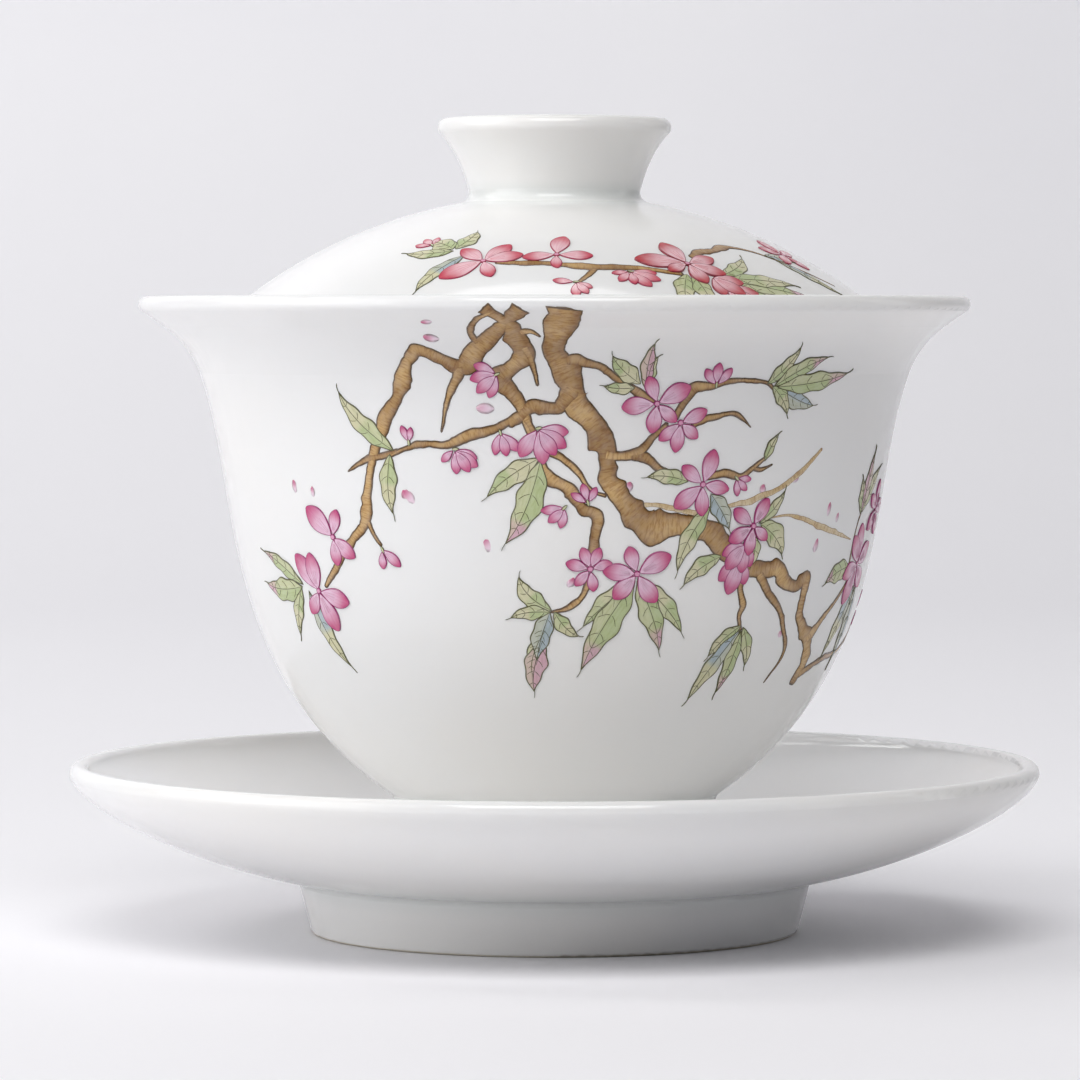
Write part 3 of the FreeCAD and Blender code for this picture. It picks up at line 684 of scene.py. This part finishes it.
BOWL_LIMBS = [
    [(32, 46.8, 0.9), (36, 45.3, 1.0), (40, 45.0, 1.05), (43.2, 44.9, 1.0), (45.4, 43.4, 0.9), (48.4, 42.9, 0.8),
     (51.0, 43.9, 0.75), (51.2, 41.4, 0.65), (52.0, 38.9, 0.75), (56.6, 36.4, 0.95), (58.8, 33.8, 0.85),
     (57.6, 30.8, 0.8)],
    # the left limb
    [(-6.8, 73.6, 0.9), (-8.8, 72.2, 1.15), (-11.3, 70.6, 1.2), (-13.6, 68.8, 1.25), (-15.6, 68.8, 0.9),
     (-18, 69.8, 0.75), (-20.6, 70.4, 0.8), (-22.7, 69.2, 0.7), (-24.1, 67.2, 0.95), (-25.5, 65.0, 0.7),
     (-28.0, 62.8, 0.95), (-29.4, 60.6, 0.75), (-31.1, 58.4, 0.6), (-32.8, 54.4, 0.65), (-33.4, 51.6, 0.85),
     (-34.4, 50.2, 0.7), (-37.0, 48.6, 0.65), (-39.6, 46.8, 0.5), (-41.6, 45.3, 0.6), (-45.5, 42.8, 0.25)],
    [(-8.2, 74.8, 0.45), (-10.6, 73.9, 0.4), (-12.0, 72.6, 0.4), (-11.2, 70.9, 0.5)],
    [(-13.6, 69.4, 0.9), (-15.4, 67.2, 0.6), (-17.2, 64.4, 0.4), (-18.5, 61.0, 0.15)],
    [(-33.6, 51.0, 0.45), (-32.4, 49.2, 0.3), (-31.0, 47.8, 0.25)],
    # the middle limb
    [(-4.8, 63.0, 0.6), (-3.2, 60.4, 0.5), (-2.3, 57.6, 0.45), (-0.6, 55.9, 0.65), (2.3, 54.6, 0.8), (4.4, 52.6, 0.65),
     (7.0, 51.5, 0.75), (6.4, 48.6, 0.6), (6.0, 46.0, 0.55)],
    [(-5.4, 72.4, 0.7), (-3.6, 72.6, 0.45), (-2.0, 71.9, 0.15)],
    [(-4.8, 71.0, 0.6), (-3.5, 69.0, 0.4), (-2.7, 66.3, 0.2)],
    [(3.2, 66.4, 1.0), (1.6, 64.9, 0.95), (0.2, 63.8, 0.8), (-3.4, 64.0, 0.75), (-5.6, 62.9, 0.7), (-7.8, 61.9, 0.6)],
    [(-5.2, 63.2, 0.6), (-10.0, 61.4, 0.55), (-14.0, 60.8, 0.75), (-17.9, 59.6, 0.5), (-21.6, 59.8, 0.35),
     (-25.0, 59.2, 0.35), (-28.2, 58.2, 0.3)],
    [(-2.6, 58.8, 0.35), (-0.8, 58.8, 0.4), (2.6, 57.4, 0.45), (5.8, 54.6, 0.3), (8.6, 53.8, 0.3)],
    [(-26.0, 59.0, 0.3), (-28.8, 58.4, 0.45), (-32.6, 57.8, 0.4), (-36.6, 56.4, 0.12)],
    # twigs of the right side
    [(1.2, 69.4, 0.9), (3.4, 69.2, 0.7), (6.6, 68.6, 0.55), (9.4, 67.2, 0.5), (13.0, 65.6, 0.5), (16, 64.4, 0.3)],
    [(19.0, 62.4, 0.5), (20.4, 64.4, 0.5), (22.2, 66.1, 0.65), (25, 66.4, 0.5), (29.0, 67.0, 0.35), (34.6, 66.7, 0.28),
     (37.2, 65.4, 0.18)],
    [(22.0, 61.9, 0.5), (26.0, 62.8, 0.42), (30.0, 63.1, 0.3), (33.2, 61.5, 0.1)],
    [(7.6, 58.6, 0.9), (10.6, 58.4, 0.6), (13.6, 58.8, 0.6), (15.8, 60.6, 0.42), (18.2, 62.2, 0.3)],
    [(11.6, 58.4, 0.5), (14.6, 58.2, 0.65), (17.4, 56.8, 0.45), (22.4, 56.0, 0.38)],
    [(25.4, 55.8, 0.4), (29.0, 56.3, 0.55), (32.4, 56.0, 0.38), (35.4, 57.4, 0.35), (38.0, 58.6, 0.2)],
    [(34.2, 56.9, 0.3), (36.2, 56.7, 0.3), (38.6, 57.3, 0.12)],
    [(35.2, 45.6, 0.7), (34.6, 43.0, 0.45), (36.0, 41.0, 0.42), (35.5, 39.6, 0.34), (36.6, 37.8, 0.3)],
    [(38.2, 44.8, 0.8), (41.2, 42.4, 0.55), (44.6, 40.6, 0.4), (47.4, 38.2, 0.42), (50.0, 35.0, 0.3),
     (47.2, 31.4, 0.12)],
    [(56.2, 36.0, 0.8), (60.2, 38.8, 0.5), (64.4, 41.2, 0.35), (69, 44.6, 0.25)],
    [(58.6, 32.0, 0.7), (63.6, 33.2, 0.45), (70, 34.0, 0.42), (78, 34.6, 0.35), (86, 36.6, 0.3), (96, 40.4, 0.25)],
    [(66.6, 42.6, 0.2), (65.8, 46.6, 0.18), (66.4, 50.0, 0.16), (69, 53.2, 0.12)],
    [(6.0, 44.6, 0.4), (4.6, 42.2, 0.42), (2.2, 41.0, 0.32), (-1.0, 40.5, 0.2)],
    # round the side and at the back
    [(84, 36.0, 0.3), (90, 34.6, 0.3), (97, 34.8, 0.22), (103, 33.4, 0.12)],
    [(150, 62.5, 0.2), (158, 60.6, 0.45), (166, 57.4, 0.6), (174, 56.6, 0.65), (182, 54.0, 0.55), (189, 53.6, 0.45),
     (196, 50.6, 0.35), (203, 49.4, 0.2)],
    [(165, 58.4, 0.4), (168, 61.6, 0.35), (174, 63.8, 0.2)],
    [(178, 56.0, 0.4), (180, 51.4, 0.35), (177, 47.6, 0.2)],
]
GOLD_LIMBS = [
    [(27.6, 52.2, 0.2), (35.0, 53.2, 0.35), (40.8, 54.5, 0.35), (45.4, 56.4, 0.35), (50.0, 59.0, 0.2)],
    [(12.6, 52.6, 0.2), (17.0, 52.8, 0.3), (21.0, 52.2, 0.35), (25.0, 51.6, 0.35)],
    [(38.0, 50.9, 0.08), (42.6, 51.3, 0.14), (46.9, 50.9, 0.28), (55.0, 49.4, 0.35), (64.6, 48.0, 0.12)],
]
bowl.limbs("gold_twig", GOLD_LIMBS, ragged=0.1, line=0.06, gold=True)
bowl.limbs("limb", CUT_LIMBS + BOWL_LIMBS, len(CUT_LIMBS))

BOWL_LEAVES = [
    [((13.2, 66.6), (8.0, 69.8), 1.0, "pale", -18), ((12.4, 66.2), (7.2, 66.3), 0.7, "pale", -14)],
    [((14.4, 66.2), (15.2, 70.0), 0.7, "green", -30), ((14.0, 66.0), (14.4, 71.4), 0.75, "pink", -10)],
    [((22.4, 55.4), (14.8, 56.2), 0.85, "green", 20)],
    [((26.6, 54.0), (31.0, 49.8), 1.05, "blue", -10)],
    [((26.8, 52.6), (21.0, 45.0), 1.0, "green", 20)],
    [((29.8, 46.8), (22.6, 43.6), 0.95, "green", 22)],
    [((-2.6, 58.2), (-11.6, 53.8), 1.1, "pale", 12), ((-2.4, 58.0), (-8.0, 48.0), 1.4, "tipped", -16)],
    [((-0.6, 40.7), (-7.2, 44.6), 1.0, "green", -34), ((-0.8, 40.5), (-8.4, 40.0), 0.8, "green", 22),
     ((-0.2, 40.6), (4.2, 37.4), 0.8, "green", 26)],
    [((-1.6, 38.6), (-5.0, 33.0), 0.8, "pale", 26), ((-2.2, 37.4), (-4.6, 31.0), 1.15, "pink", 18),
     ((-0.9, 40.6), (-3.6, 34.8), 1.05, "blue", 10)],
    [((13.8, 44.0), (4.8, 38.8), 1.05, "pale", 10), ((14.6, 44.0), (24.0, 38.0), 1.05, "pale", -14),
     ((14.0, 44.2), (4.8, 33.6), 1.4, "tipped", 12), ((14.3, 44.2), (20.0, 35.8), 1.2, "tipped", -12)],
    [((36.8, 50.4), (42.4, 54.2), 0.7, "green", 18), ((37.2, 50.4), (43.6, 46.8), 1.25, "green", -26),
     ((36.4, 49.0), (36.4, 45.4), 0.7, "green", -16)],
    [((34.8, 66.5), (40.0, 70.8), 0.8, "green", 30), ((37.8, 65.9), (45.8, 63.8), 1.0, "blue", 12),
     ((36.0, 66.3), (40.4, 63.0), 0.8, "green", -20), ((36.4, 66.3), (46.4, 69.8), 1.0, "tipped", -10),
     ((36.8, 66.2), (53.0, 67.6), 1.1, "tipped", 8)],
    [((36.6, 57.6), (39.0, 61.0), 0.55, "green", -14)],
    [((36.4, 38.6), (30.0, 35.0), 0.85, "green", 20), ((36.9, 38.4), (40.2, 33.6), 0.75, "green", -18),
     ((36.5, 38.2), (28.2, 29.8), 0.95, "grey", 12), ((36.7, 38.0), (34.8, 30.4), 0.85, "tipped", -6)],
    [((67.0, 51.0), (74.8, 56.8), 0.9, "green", -12), ((66.8, 51.0), (65.6, 55.4), 0.8, "green", 12),
     ((66.9, 51.0), (69.6, 58.4), 0.95, "pink", 0)],
    [((66.0, 44.8), (57.2, 43.2), 1.2, "tipped", 22), ((72.0, 42.4), (66.0, 34.2), 1.1, "grey", 8),
     ((73.0, 42.4), (74.0, 32.8), 1.1, "blue", -8)],
    [((-27.0, 58.9), (-37.2, 65.6), 1.05, "green", -22), ((-27.8, 58.6), (-28.6, 51.4), 1.0, "green", 20)],
    [((-51.4, 43.0), (-63.4, 47.0), 0.85, "tipped", 12), ((-52.0, 42.8), (-57.0, 36.8), 0.85, "green", 12),
     ((-51.8, 42.8), (-65.0, 42.6), 1.3, "tipped", -18)],
    [((-50.2, 42.4), (-44.4, 33.2), 0.95, "grey", 14)],
    [((96, 40.6), (104, 45.0), 0.95, "tipped", 20), ((96.4, 40.4), (106, 40.2), 1.0, "green", -14),
     ((96, 40.2), (101, 35.6), 0.9, "grey", 16)],
    [((152, 62.0), (144, 65.6), 0.9, "green", -16), ((152, 62.0), (143.4, 61.0), 0.85, "tipped", 14)],
    [((173, 63.4), (181, 66.6), 0.95, "green", 18), ((173, 63.4), (180, 62.2), 0.85, "pale", -18)],
    [((177.6, 48.4), (171, 43.6), 1.0, "tipped", 16), ((177.8, 48.4), (183, 42.8), 1.05, "green", -14),
     ((177.6, 48.4), (177, 41.6), 0.9, "grey", 6)],
    [((201, 49.8), (210, 52.4), 0.9, "tipped", -16), ((202, 49.6), (211, 46.6), 0.95, "green", 12)],
]
bowl.leaves(BOWL_LEAVES)

BOWL_BLOSSOMS = [
    ((20.2, 62.2), [(221, 3.0), (24, 3.3), (-95, 3.3), (-40, 2.7)], 0, True),
    ((16.0, 64.4), [(110, 3.3), (186, 3.9), (27, 4.2), (-97, 3.3), (-40, 3.1)], 1, True),
    ((25.0, 55.1), [(143, 3.3), (219, 4.1), (-10, 3.3), (-88, 3.5), (73, 4.0)], 0, True),
    ((14.2, 44.9), [(109, 3.2), (175, 3.8), (29, 4.3), (230, 3.7), (-54, 4.0)], 1, True),
    ((6.0, 45.5), [(112, 2.5), (68, 2.5), (15, 2.4), (229, 2.4), (-80, 2.5), (167, 2.7)], 0, True),
    ((34.0, 46.6), [(284, 3.2), (224, 3.7), (254, 4.4)], 0, False),
    ((34.4, 48.2), [(292, 2.8), (204, 3.1), (268, 3.3), (233, 3.6)], 1, False),
    ((35.6, 50.2), [(-36, 2.6), (145, 3.3), (60, 3.5), (209, 3.4), (-96, 3.3)], 2, True),
    ((-41.4, 48.8), [(138, 5.0), (72, 3.2), (-40, 3.6), (-88, 3.2)], 0, True),
    ((-47.2, 42.4), [(126, 5.2), (98, 4.4), (232, 3.4), (-16, 4.6), (-70, 5.0)], 0, True),
    ((70.0, 45.0), [(100, 4.8), (128, 4.2), (252, 5.0), (30, 4.4), (-40, 4.2), (200, 4.0)], 0, True),
    ((76.0, 51.4), [(84, 3.4), (150, 3.2), (10, 3.4), (-60, 3.3), (222, 3.4)], 1, True),
    ((92.0, 38.8), [(60, 3.6), (132, 3.4), (204, 3.5), (276, 3.3), (-12, 3.6)], 0, True),
    ((166.0, 57.4), [(78, 3.8), (150, 3.6), (222, 3.9), (294, 3.6), (6, 3.8)], 0, True),
    ((188.0, 53.4), [(100, 3.2), (172, 3.4), (244, 3.1), (316, 3.4), (28, 3.2)], 0, True),
]
bowl.blossoms([(*row, "bowl") for row in BOWL_BLOSSOMS], 0.275)

BOWL_CUPS = [
    ((-16.4, 59.2), [(222, 2.0), (-24, 2.6), (-88, 2.7), (-38, 3.1), (-58, 2.9)]),
    ((-8.8, 61.2), [(-104, 2.6), (-46, 2.9), (-76, 2.7)]),
    ((-2.8, 61.6), [(-8, 3.3), (-34, 3.7), (238, 3.7), (-82, 4.0), (-58, 3.5)]),
    ((-8.8, 67.8), [(156, 2.7), (250, 2.9), (192, 3.1), (222, 3.2)]),
    ((-24.2, 59.8), [(112, 2.0), (78, 1.7)]),
    ((5.4, 53.0), [(150, 2.1), (64, 1.9), (106, 2.2)]),
    ((1.6, 52.6), [(190, 2.6), (258, 2.3), (224, 2.4)]),
    ((25.6, 66.4), [(130, 2.4), (50, 2.5), (92, 2.6)]),
    ((31.2, 55.8), [(-80, 2.0), (-5, 1.9), (-42, 2.0)]),
    ((-31.0, 47.6), [(-94, 2.2), (-42, 2.8)]),
    ((174.5, 64.0), [(120, 2.2), (40, 2.3), (80, 2.5)]),
    ((159.0, 61.0), [(-130, 2.4), (-60, 2.4), (-94, 2.6)]),
]
bowl.side_flowers(BOWL_CUPS, "bowl")

BOWL_FALLEN = [
    ((-16.9, 73.7), 190, 1.4, 0.45), ((-16.8, 71.7), 170, 2.0, 0.65), ((-9.6, 63.8), 178, 2.1, 0.65, 0.35),
    ((-49.4, 53.8), 95, 1.6, 0.45), ((-45.0, 53.4), 95, 1.3, 0.4), ((-24.0, 52.9), 132, 2.3, 0.8),
    ((-10.9, 47.5), 120, 2.0, 0.9), ((12.0, 54.3), 80, 1.2, 0.5), ((37.0, 53.8), 92, 1.2, 0.5),
    ((54.2, 51.0), 85, 1.7, 0.5), ((57.4, 50.2), 80, 1.3, 0.35), ((51.8, 46.8), 80, 2.0, 0.6),
    ((47.0, 36.8), 70, 1.2, 0.55), ((43.4, 55.2), 40, 1.3, 0.5), ((2.2, 43.4), 60, 1.3, 0.5),
    ((158, 50), 120, 1.8, 0.7), ((193, 43.6), 75, 1.7, 0.65), ((204, 58), 100, 1.9, 0.7), ((216, 54), 60, 1.3, 0.5),
    ((112, 46), 80, 1.6, 0.6), ((118, 52), 100, 1.3, 0.45),
]
bowl.fallen_petals(BOWL_FALLEN)


# ---------------------------------------------------------------- the painting on the lid

lid = Painter("lid", lid_wall)
LID_LIMBS = [
    [(-13, 31.2, 0.4), (-8, 31.3, 0.5), (-2, 31.4, 0.5), (6.7, 32.0, 0.65), (15.8, 32.2, 0.6), (20.0, 32.6, 0.5),
     (26.5, 33.4, 0.4)],
    [(8.4, 32.0, 0.55), (6.4, 33.6, 0.4), (4.0, 35.0, 0.3)],
    [(31.5, 30.4, 0.65), (35, 29.0, 0.7), (40, 28.6, 0.6), (44, 27.8, 0.65), (48, 27.8, 0.4), (54.4, 29.0, 0.28),
     (62, 32.0, 0.22), (70, 35.4, 0.12)],
    [(-156, 30.4, 0.2), (-164, 29.8, 0.45), (-172, 31.2, 0.55), (-182, 31.0, 0.5), (-190, 32.4, 0.45),
     (-198, 32.0, 0.25)],
    [(-174, 31.2, 0.45), (-178, 33.6, 0.35), (-177, 35.6, 0.2)],
]
lid.limbs("limb", LID_LIMBS, ragged=0.1, line=0.14)

LID_LEAVES = [
    [((-24.0, 28.4), (-21.6, 24.0), 1.1, "green", 18), ((-24.0, 28.8), (-36.5, 29.6), 1.0, "green", -20),
     ((-24.6, 28.4), (-32.5, 26.6), 1.3, "green", 24)],
    [((-20.5, 29.8), (-27.5, 36.4), 1.0, "grey", 18)],
    [((27.0, 33.4), (22.6, 38.4), 1.2, "green", 14), ((28.0, 33.6), (28.0, 38.8), 1.1, "green", -14)],
    [((35.0, 33.6), (46.0, 30.4), 1.0, "green", 20), ((35.0, 35.2), (47.0, 38.6), 1.2, "green", -8),
     ((35.6, 34.8), (55.0, 37.6), 1.25, "tipped", -8), ((35.4, 34.2), (53.0, 35.2), 1.15, "green", -8)],
    [((58.0, 30.6), (68.0, 37.0), 0.8, "grey", 6), ((56.0, 29.6), (66.0, 31.0), 0.8, "grey", -10)],
    [((-156, 30.6), (-146, 28.0), 1.1, "green", 18), ((-156.4, 30.8), (-146, 33.0), 1.1, "tipped", -16)],
    [((-177, 35.2), (-170, 38.6), 1.1, "green", 14), ((-177.4, 35.2), (-184, 38.8), 1.1, "grey", -14)],
    [((-197, 32.0), (-208, 30.0), 1.1, "tipped", -18), ((-197, 32.2), (-207, 35.0), 1.2, "green", 16)],
]
lid.leaves(LID_LEAVES)

LID_BLOSSOMS = [
    ((-15.5, 31.0), [(140, 4.2), (60, 4.4), (218, 5.6), (-62, 3.6), (20, 4.4)], 0, True, "lid"),
    ((0.3, 29.7), [(80, 4.6), (188, 3.8), (-4, 4.0), (-90, 2.8)], 0, True, "lid"),
    ((33.6, 35.6), [(-20, 4.0), (-84, 3.0), (-52, 4.2)], 0, False, "red"),
    ((31.8, 34.0), [(-16, 4.0), (-88, 3.4), (-50, 4.4)], 1, False, "red"),
    ((28.8, 31.6), [(168, 6.0), (100, 5.0), (16, 4.2), (206, 3.2), (-82, 4.0), (-30, 4.6)], 2, True, "red"),
    ((66.0, 29.5), [(150, 3.4), (80, 3.8), (10, 3.2), (-70, 3.4), (215, 3.2)], 0, True, "lid"),
    ((-172, 31.0), [(84, 4.0), (156, 4.2), (228, 4.0), (300, 4.2), (12, 4.0)], 0, True, "lid"),
    ((-187, 31.8), [(60, 3.4), (140, 3.4), (200, 3.2), (280, 3.4), (350, 3.2)], 0, True, "red"),
]
lid.blossoms(LID_BLOSSOMS, 0.27)

LID_CUPS = [
    ((3.8, 34.8), [(170, 2.4), (-30, 2.0), (-90, 2.6), (-60, 2.4)]),
    ((15.0, 33.0), [(188, 2.0), (-8, 3.0), (-130, 2.4), (-30, 3.6), (-58, 3.4), (-88, 2.4)]),
    ((-31.0, 27.6), [(100, 2.0), (180, 2.2), (140, 2.3)]),
]
lid.side_flowers(LID_CUPS, "lid")


# ---------------------------------------------------------------- floor, light and camera

def paper_material():
    """Matt white paper, a little greyer at the foot of the sweep than on the wall."""
    look = Look("paper_sweep")
    where, height = look.places()
    clouds, grain = look.noise(where, 6, 3.0), look.noise(where, 900)
    paper = look.blend(look.span(clouds, 0.3, 0.7, 0, 1), rgb(249, 248, 252), rgb(252, 251, 254))
    look.set(Base_Color=look.blend(look.span(height, 0, 0.2, 1, 0), paper, rgb(246, 245, 248)),
             Roughness=look.span(grain, 0.3, 0.7, 0.55, 0.75))
    return look.material


def paper_sweep(front=-5.0, back=0.75, bend=0.5, tall=2.4, wide=5.0):
    """A level floor that turns up into a wall behind the object. Its sizes are in metres: where it starts and where
    it begins to turn up, the radius of the turn, the height of the wall, and half the width."""
    line = [(front, 0.0), (0.0, 0.0), (back, 0.0)]
    line += [(back + bend * math.sin(a), bend * (1 - math.cos(a))) for a in np.linspace(0, math.pi / 2, 25)[1:]]
    line.append((back + bend, tall))
    verts = [(x, y, z) for y, z in line for x in (-wide, wide)]
    faces = [(2 * i, 2 * i + 1, 2 * i + 3, 2 * i + 2) for i in range(len(line) - 1)]
    mesh = bpy.data.meshes.new("sweep")
    mesh.from_pydata(verts, [], faces)
    mesh.polygons.foreach_set("use_smooth", [True] * len(faces))
    mesh.materials.append(paper_material())
    made = bpy.data.objects.new("sweep", mesh)
    bpy.context.scene.collection.objects.link(made)


def soft_light(name, place, aim, size, power):
    """A rectangular light of this size in metres, which faces aim. power is in watts."""
    data = bpy.data.lights.new(name, "AREA")
    data.shape, data.size, data.size_y = "RECTANGLE", *size
    data.energy = power
    lamp = bpy.data.objects.new(name, data)
    lamp.location = place
    lamp.rotation_mode = "QUATERNION"
    lamp.rotation_quaternion = (Vector(aim) - Vector(place)).to_track_quat("-Z", "Y")
    bpy.context.scene.collection.objects.link(lamp)


def studio_world(colour, strength):
    """A little light from everywhere."""
    world = bpy.data.worlds.new("studio")
    world.use_nodes = True
    background = world.node_tree.nodes["Background"]
    background.inputs["Color"].default_value = (*colour, 1)
    background.inputs["Strength"].default_value = strength
    bpy.context.scene.world = world


def front_camera(place, down, lens):
    """A level camera in front of the object, tipped down by so many radians."""
    data = bpy.data.cameras.new("camera")
    data.sensor_width, data.lens = 36, lens
    data.clip_start, data.clip_end = 0.01, 20
    camera = bpy.data.objects.new("camera", data)
    camera.location = place
    camera.rotation_euler = (math.pi / 2 - down, 0, 0)
    bpy.context.scene.collection.objects.link(camera)
    bpy.context.scene.camera = camera


paper_sweep()
MIDDLE, BACK_WALL = (0, 0, 0.05), 1.25      # m: a point in the bowl, and where the sweep's wall stands
soft_light("key", (-0.75, -0.35, 0.62), MIDDLE, (0.7, 0.7), 1.95)
soft_light("side", (-0.95, -0.10, 0.45), MIDDLE, (0.7, 0.7), 2.3)
soft_light("overhead", (0.0, -0.8, 1.1), (0, 0, 0), (0.9, 0.7), 9.8)
soft_light("low", (-1.0, -0.5, 0.16), (0, 0, 0.03), (0.8, 0.3), 1.95)
soft_light("right", (1.0, 0.25, 0.35), MIDDLE, (0.3, 0.8), 0.75)
soft_light("wall", (-0.2, 0.35, 1.3), (-0.1, BACK_WALL, 0.25), (1.2, 0.4), 3.75)
soft_light("wall_left", (-0.9, 0.5, 0.9), (-0.4, BACK_WALL, 0.25), (0.5, 0.5), 3.3)
studio_world((0.96, 0.97, 1.0), 0.075)
bpy.context.scene.view_settings.view_transform = "Standard"
front_camera((-0.00175, -0.680, 0.0745), 0.040, 188)
